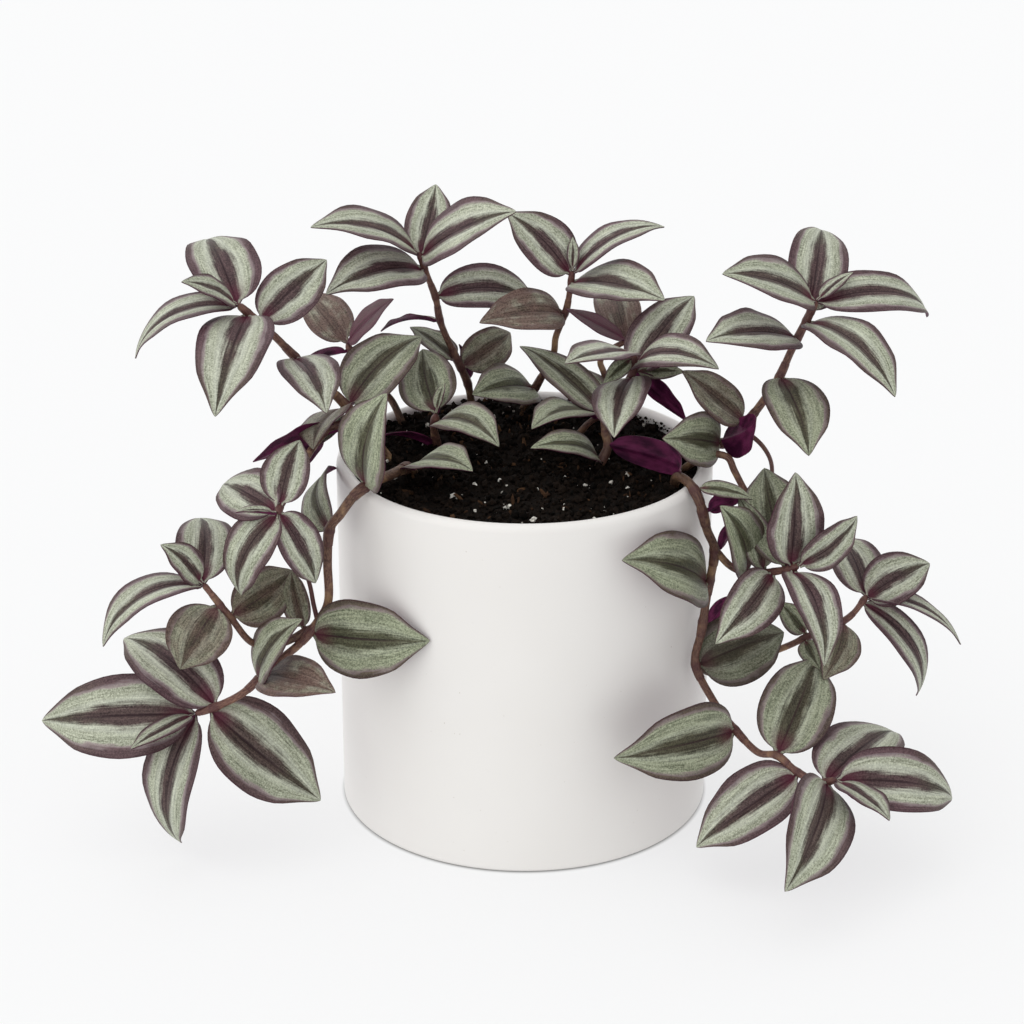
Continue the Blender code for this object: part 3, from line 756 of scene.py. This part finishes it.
# ---- blades ----------------------------------------------------------------------------------------
def blade_frame(heading, rise, roll):
    """The directions along a blade, across it and out of its upper face."""
    h, r, turn = np.radians([heading, rise, roll])
    along = np.array([math.cos(h) * math.cos(r), math.sin(h) * math.cos(r), math.sin(r)])
    level = np.array([-math.sin(h), math.cos(h), 0.0])
    across = level * math.cos(turn) + np.cross(along, level) * math.sin(turn)
    return along, across, np.cross(along, across)


def blade_start(shoot, place, along):
    """A point just off the stem on the side that the blade leaves it from, and the way back into it."""
    start, end, route = SHOOTS[shoot]
    points, directions = sample(curve_through(route), [place])
    outward = along
    if place < TIP_LEAF:
        outward = unit(along - ASIDE * directions[0] * np.dot(along, directions[0]))
    off = start + (end - start) * place + OFF_STEM
    return points[0] + outward * off, -INTO_STEM * off * outward


def half_widths(t, width):
    """Rounded at the base, widest nearly two fifths of the way along, drawn out to the tip."""
    a, b = WIDEST
    peak = a / (a + b)
    shape = t ** a * (1 - t) ** b / (peak ** a * (1 - peak) ** b)
    share, low, high = DRAWN_IN
    shape *= 1 - share * smooth_step(low, high, t)
    return np.maximum(width / 2 * shape, LEAST_BASE + (LEAST_TIP - LEAST_BASE) * t)


def make_blade(name, shoot, row, fold, rng, material):
    """One leaf, 0.3 to 0.5 mm thick: arched, folded, grooved at the midrib and waved at the margin.

    t runs from base to tip down the rows, and s from -1 to 1 across the columns. Each half has its
    own width and wave, and the whole blade twists and bows a little, so no two leaves are alike. The
    points of each row are a closed ring, below and then above.
    """
    place, heading, rise, roll, length, width, arch, look = row
    along, across, up = blade_frame(heading, rise, roll)
    base, inward = blade_start(shoot, place, along)
    t = 0.5 - 0.5 * np.cos(np.linspace(0, math.pi, ROWS))[:, None]
    s = np.array([-c for c in COLUMNS[:0:-1]] + list(COLUMNS))
    larger = width / USUAL_WIDTH

    # The midrib: an arc whose last quarter droops a little more, bowed to one side.
    bend = math.radians(arch)
    radius = length / (2 * math.sin(bend / 2))
    angle = bend * (t - 0.5)
    ahead = radius * (np.sin(angle) + math.sin(bend / 2))
    above = radius * (np.cos(angle) - math.cos(bend / 2))
    above -= rng.uniform(*DROOP) * length / USUAL_LENGTH * (np.clip(t - 0.75, 0, 1) / 0.25) ** 2
    bow = rng.uniform(-BOW, BOW) * length * np.sin(math.pi * t)
    middle = base + ahead * along + above * up + bow * across

    # The directions sideways and out of the upper face, row by row, with the twist.
    normal = up * np.cos(angle) + along * np.sin(angle)
    twist = np.radians(rng.uniform(-TWIST, TWIST)) * (t - UNTWISTED)
    side = across * np.cos(twist) + normal * np.sin(twist)
    normal = normal * np.cos(twist) - across * np.sin(twist)

    # How far each point lies to the side, and how far it is lifted: a fold that flattens to the
    # margin and to the tip, the groove, and waves that grow from the midrib to the margin.
    lean = 1 + rng.uniform(-LOPSIDED, LOPSIDED) * np.sign(s)
    open_up = np.radians(fold) * (1 - TIP_FOLD * t)
    half = half_widths(t, width)
    reach = s * lean * (half * np.cos(open_up))
    lift = (np.abs(s) - MARGIN_FOLD * s ** 2) * (half * np.sin(open_up))
    lift -= GROOVE * larger * np.sqrt(1 - t) * np.exp(-(reach / GROOVE_WIDTH) ** 2)
    waves = rng.uniform(*WAVES, 2)
    starts = rng.uniform(0, 2 * math.pi, 2)
    heights = rng.uniform(*WAVE_HEIGHT, 2) * larger
    left, right = (heights[k] * np.sin(2 * math.pi * waves[k] * t + starts[k]) for k in (0, 1))
    lift += np.where(s < 0, left, right) * np.abs(s) ** 3 * np.sin(math.pi * t)

    # The sheet, and from it the two faces, with the keel of the midrib below.
    sheet = middle[:, None] + reach[..., None] * side[:, None] + lift[..., None] * normal[:, None]
    face = unit(np.cross(np.gradient(sheet, axis=0), np.gradient(sheet, axis=1)) + 1e-9 * up)
    thick = (THICK - THINNING * s ** 2)[:, None] / 2
    keel = (KEEL * np.sqrt(1 - t) * np.exp(-(reach / KEEL_WIDTH) ** 2))[..., None]
    upper, lower = sheet + face * thick, sheet - face * (thick + keel)
    rings = np.concatenate([lower, upper[:, ::-1]], axis=1)
    rings[0] += inward
    sides = rings.shape[1]
    piece = add_piece(name, rings.reshape(-1, 3), ring_faces(ROWS, sides), material)

    columns = np.concatenate([s, s[::-1]])
    put_uv(piece, np.tile((columns + 1) / 2, ROWS), np.repeat(t, sides))
    put_values(piece, "under", np.tile(np.repeat([1.0, 0.0], len(s)), ROWS))
    seed = rng.random()
    # The last number of a look is how much painted shade is laid over the leaf.
    age, brown, wine, painted_shade = look
    age += rng.uniform(*AGE_SPREAD)
    for key, value in (("seed", seed), ("age", age), ("brown", brown), ("wine", wine), ("painted_shade", painted_shade)):
        put_values(piece, key, np.full(ROWS * sides, value))
    return piece


def make_leaves(material):
    """All blades and buds. The first blades of a shoot stand for its leaf solids."""
    rng = np.random.default_rng(LEAF_SEED)
    for shoot in SHOOTS:
        rows = LEAVES.get(shoot, [])
        for number, row in enumerate(rows + MORE_LEAVES.get(shoot, []), 1):
            piece = make_blade(f"{shoot}_blade_{number}", shoot, row, FOLD, rng, material)
            if number <= len(rows):
                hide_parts(f"{shoot}_leaf_{number}")
        if shoot in BUDS:
            make_blade(f"{shoot}_bud", shoot, BUDS[shoot], BUD_FOLD, rng, material)


# ---- surroundings ----------------------------------------------------------------------------------
def make_floor():
    """A pale, self-lit floor with a painted contact shadow: a thin dark, unlit ring at the pot's foot.
    """
    size, behind = 12.0, 1.5        # metres; behind is how far its middle lies behind the pot's
    n = Nodes("floor")
    from_pot = n.add("ShaderNodeVectorMath", 1, {0: n.place(), 1: (0.0, -behind, 0.0)},
                     operation="DISTANCE")
    # Painted contact shadow: dark and without light of its own within a few millimetres of the pot's
    # foot.
    outside_painted_shadow = n.step((POT_R - 2.0) * MM, (POT_R + 1.4) * MM, from_pot)
    painted_shadow, pale = (0.10, 0.09, 0.08, 1.0), (0.30, 0.30, 0.30, 1.0)
    material = n.finish(base_color=n.mix(outside_painted_shadow, painted_shadow, pale), roughness=0.9,
                        specular_ior_level=0.0, emission_color=(0.99, 0.995, 1.0, 1.0),
                        emission_strength=n.times(outside_painted_shadow, 0.65))
    bpy.ops.mesh.primitive_plane_add(size=size, location=(0, behind, 0))
    floor = bpy.context.object
    floor.name = "floor"
    floor.data.materials.append(material)


def make_key_light():
    """A soft key from the upper left, in front."""
    data = bpy.data.lights.new("key", "SUN")
    data.energy = 0.28
    data.angle = math.radians(50)
    key = bpy.data.objects.new("key", data)
    bpy.context.scene.collection.objects.link(key)
    key.rotation_euler = Vector((0.25, 0.30, -1.0)).to_track_quat("-Z", "Y").to_euler()


def make_sky():
    """A white sky that is brightest on the left and dimmer on the right."""
    left, right = 1.38, 0.60
    world = bpy.data.worlds.new("studio")
    bpy.context.scene.world = world
    world.use_nodes = True
    tree = world.node_tree
    direction = tree.nodes.new("ShaderNodeSeparateXYZ")
    tree.links.new(tree.nodes.new("ShaderNodeTexCoord").outputs["Generated"], direction.inputs[0])
    ramp = tree.nodes.new("ShaderNodeMapRange")
    for key, value in (("From Min", -1.0), ("From Max", 1.0), ("To Min", left), ("To Max", right)):
        ramp.inputs[key].default_value = value
    tree.links.new(direction.outputs[0], ramp.inputs["Value"])
    tree.links.new(ramp.outputs[0], tree.nodes["Background"].inputs["Strength"])
    tree.nodes["Background"].inputs["Color"].default_value = (1.0, 1.0, 1.0, 1.0)


def make_camera():
    """A long lens in front of the pot and above it, which looks down on the rim."""
    data = bpy.data.cameras.new("camera")
    data.lens = 100.0
    data.sensor_width = 36.0
    camera = bpy.data.objects.new("camera", data)
    bpy.context.scene.collection.objects.link(camera)
    camera.location = (0.0, -0.9848, 0.5257)
    gaze = Vector((-0.00436, 0.92280, -0.38526))
    camera.rotation_euler = gaze.to_track_quat("-Z", "Y").to_euler()
    scene = bpy.context.scene
    scene.camera = camera
    scene.view_settings.view_transform = "Standard"
    scene.view_settings.exposure = 0.0


# ---- the scene -------------------------------------------------------------------------------------
make_camera()
make_floor()
make_key_light()
make_sky()
make_pot(glaze_material())
mix = grain_material("mix", rgb(48, 36, 28), rgb(7, 6, 5), 900.0, 0.0008)
make_mix(mix)
scatter("mix_crumbs", mix, seed=3, count=3400, size=(0.5, 2.8), stretch=(1.0, 1.6, 1.3), detail=1,
        sink=0.35, tint=(-0.25, 0.35))
wall_crumbs("wall_crumbs_right", mix, seed=13, count=110, start=15, end=75)
wall_crumbs("wall_crumbs_left", mix, seed=14, count=40, start=100, end=165)
bark = grain_material("bark", rgb(104, 76, 54), rgb(34, 22, 16), 700.0, 0.0006)
scatter("bark_bits", bark, seed=5, count=190, size=(0.7, 2.0), stretch=(1.0, 3.6, 1.0), detail=1,
        sink=0.30, tint=(-0.2, 0.6))
perlite = grain_material("perlite", rgb(240, 238, 230), rgb(190, 184, 172), 1500.0, 0.0004)
scatter("perlite_grains", perlite, seed=8, count=120, size=(0.5, 2.2), stretch=(1.0, 1.3, 1.2),
        detail=2, sink=0.45, tint=(0.2, 0.9))
stems = stem_material()
for shoot in SHOOTS:
    make_shoot(shoot, stems)
for runner in RUNNERS:
    make_runner(runner, stems)
make_leaves(leaf_material())
